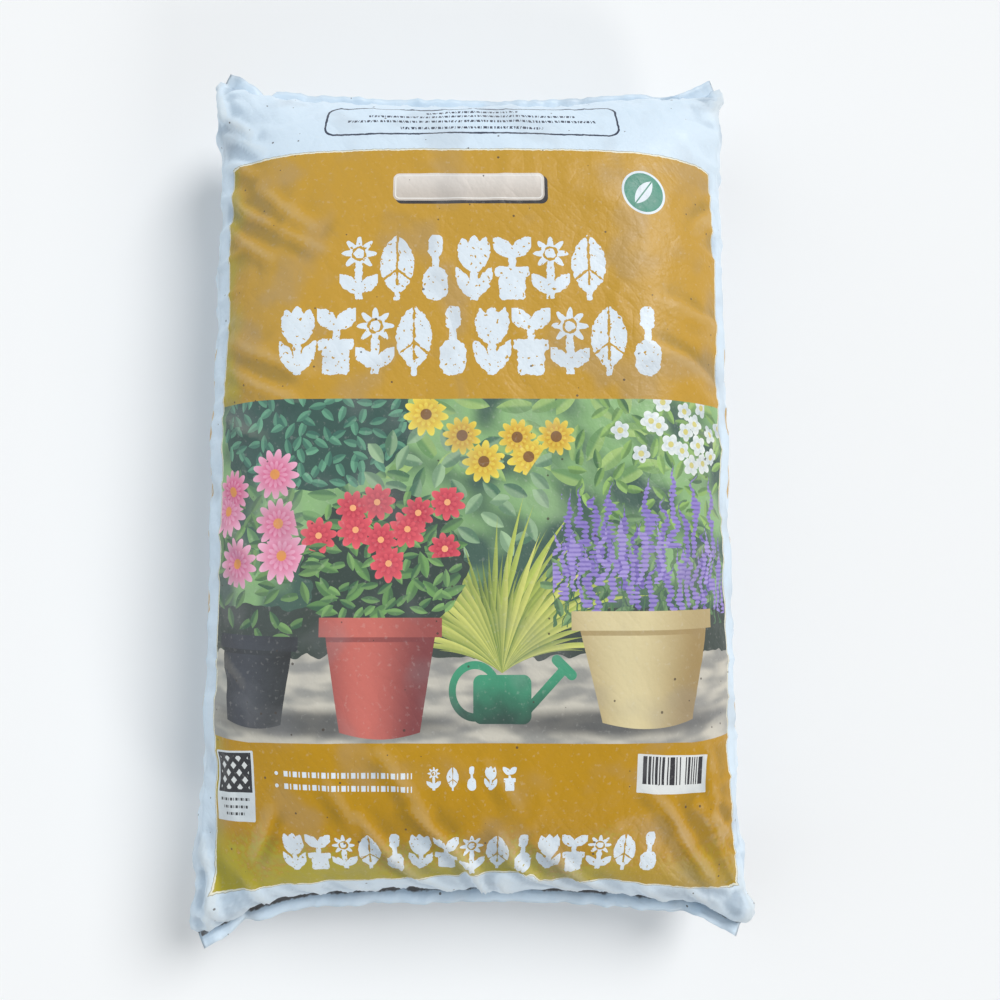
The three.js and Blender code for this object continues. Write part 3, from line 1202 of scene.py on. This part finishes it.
def add_object(name, data):
    item = bpy.data.objects.new(name, data)
    bpy.context.collection.objects.link(item)
    return item


def add_camera():
    data = bpy.data.cameras.new("camera")
    data.lens = CAMERA_LENS
    data.shift_x = SHIFT_ACROSS
    data.shift_y = SHIFT_UP
    data.clip_start = 0.01
    camera = add_object("camera", data)
    back = Vector((0, -math.cos(CAMERA_ELEVATION), math.sin(CAMERA_ELEVATION)))
    camera.location = LOOK_AT + back * CAMERA_DISTANCE
    camera.rotation_euler = (-back).to_track_quat("-Z", "Y").to_euler()
    bpy.context.scene.camera = camera


# Studio light: each lamp's direction from the bag, how wide it is in degrees, its strength and its colour
LAMPS = {
    "key": ((2.2, 2.1, 2.9), 26.0, 1.92, (1.0, 1.0, 1.0)),
    "fill": ((-2.6, 0.7, 2.2), 60.0, 0.80, (0.74, 0.89, 1.0)),
    "glint": ((1.2, -1.9, 1.0), 14.0, 0.62, (1.0, 0.98, 0.94)),
}
FLOOR_HALF = 4.0
FLOOR_GREY = 0.94
SKY_STRENGTH = 0.35
BACKDROP = 0.96


def add_lamps():
    for name, (way, width, strength, colour) in LAMPS.items():
        data = bpy.data.lights.new(name, "SUN")
        data.angle = math.radians(width)
        data.energy = strength
        data.color = colour
        lamp = add_object(name, data)
        lamp.location = way
        lamp.rotation_euler = (-Vector(way)).to_track_quat("-Z", "Y").to_euler()


def add_stage():
    """A pale floor, and a sky that is pale to the camera and weak as a light."""
    half = FLOOR_HALF
    mesh = bpy.data.meshes.new("floor")
    corners = [(-half, -half, 0), (half, -half, 0), (half, half, 0), (-half, half, 0)]
    mesh.from_pydata(corners, [], [(0, 1, 2, 3)])
    floor = add_object("floor", mesh)
    material = bpy.data.materials.new("floor")
    material.use_nodes = True
    shader = material.node_tree.nodes["Principled BSDF"]
    shader.inputs["Base Color"].default_value = (FLOOR_GREY, FLOOR_GREY, FLOOR_GREY, 1)
    shader.inputs["Roughness"].default_value = 0.9
    shader.inputs["Specular IOR Level"].default_value = 0.1
    mesh.materials.append(material)
    world = bpy.data.worlds.new("studio")
    world.use_nodes = True
    sky = world.node_tree.nodes["Background"]
    sky.inputs["Color"].default_value = (1, 1, 1, 1)
    path = world.node_tree.nodes.new("ShaderNodeLightPath")
    kinds = ("Camera", "Glossy", "Transmission")
    camera, glossy, through = (Shade(path.outputs[f"Is {kind} Ray"]) for kind in kinds)
    seen = camera + (glossy + through)
    seen.socket.node.use_clamp = True
    strength = add_node("ShaderNodeMapRange", {"Value": seen, "To Min": SKY_STRENGTH, "To Max": BACKDROP})
    world.node_tree.links.new(strength.outputs[0], sky.inputs["Strength"])
    bpy.context.scene.world = world
    add_lamps()


def add_bag():
    tube, points = filled_tube()
    points, painted_light_and_grime = creased(tube, trimmed(points))
    points = finished_fins(tube, points)
    mesh = bag_mesh(tube, points, painted_light_and_grime)
    paints = {"film_upper": upper_print, "film_picture": picture_print, "film_lower": lower_print,
              "film_gusset": gusset_print, "film_back": None}
    for name, paint in paints.items():
        mesh.materials.append(film_material(name, paint))
    return add_object("film_bag", mesh)


bag = add_bag()
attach(bag, "root")
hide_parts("bag")

add_camera()
add_stage()
bpy.context.scene.view_settings.view_transform = "Standard"
